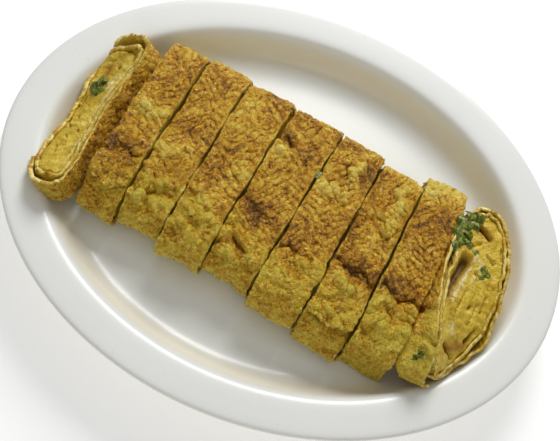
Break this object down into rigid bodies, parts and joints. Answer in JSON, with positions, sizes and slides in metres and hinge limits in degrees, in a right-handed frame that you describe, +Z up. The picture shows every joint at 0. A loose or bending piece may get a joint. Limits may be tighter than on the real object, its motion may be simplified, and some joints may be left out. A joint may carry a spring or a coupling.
{
  "type": "rolled omelette on an oval plate",
  "caption": "Flattened rolled egg omelette, cut across into slices that lie side by side on an oval rimmed plate, the end slices tipped to show their spiral cuts.",
  "frame": {"origin": "middle of the plate's foot ring, on the plane that the plate stands on", "axes": "+X along the plate's long axis and along the roll, +Y across the slices towards their back, +Z up"},
  "size_m": [0.28, 0.224, 0.0403],
  "materials": {
    "glazed_plate": "smooth white glaze",
    "browned_egg": "soft fried egg sheet, browned outside",
    "soft_egg": "moist cooked egg"
  },
  "bodies": {
    "root": {"plate": "glazed_plate", "slice_1_wrap": "browned_egg", "slice_1_core": "soft_egg", "slice_2_wrap": "browned_egg", "slice_2_core": "soft_egg", "slice_3_wrap": "browned_egg", "slice_3_core": "soft_egg", "slice_4_wrap": "browned_egg", "slice_4_core": "soft_egg", "slice_5_wrap": "browned_egg", "slice_5_core": "soft_egg", "slice_6_wrap": "browned_egg", "slice_6_core": "soft_egg", "slice_7_wrap": "browned_egg", "slice_7_core": "soft_egg", "slice_8_wrap": "browned_egg", "slice_8_core": "soft_egg", "slice_9_wrap": "browned_egg", "slice_9_core": "soft_egg"}
  },
  "joints": []
}
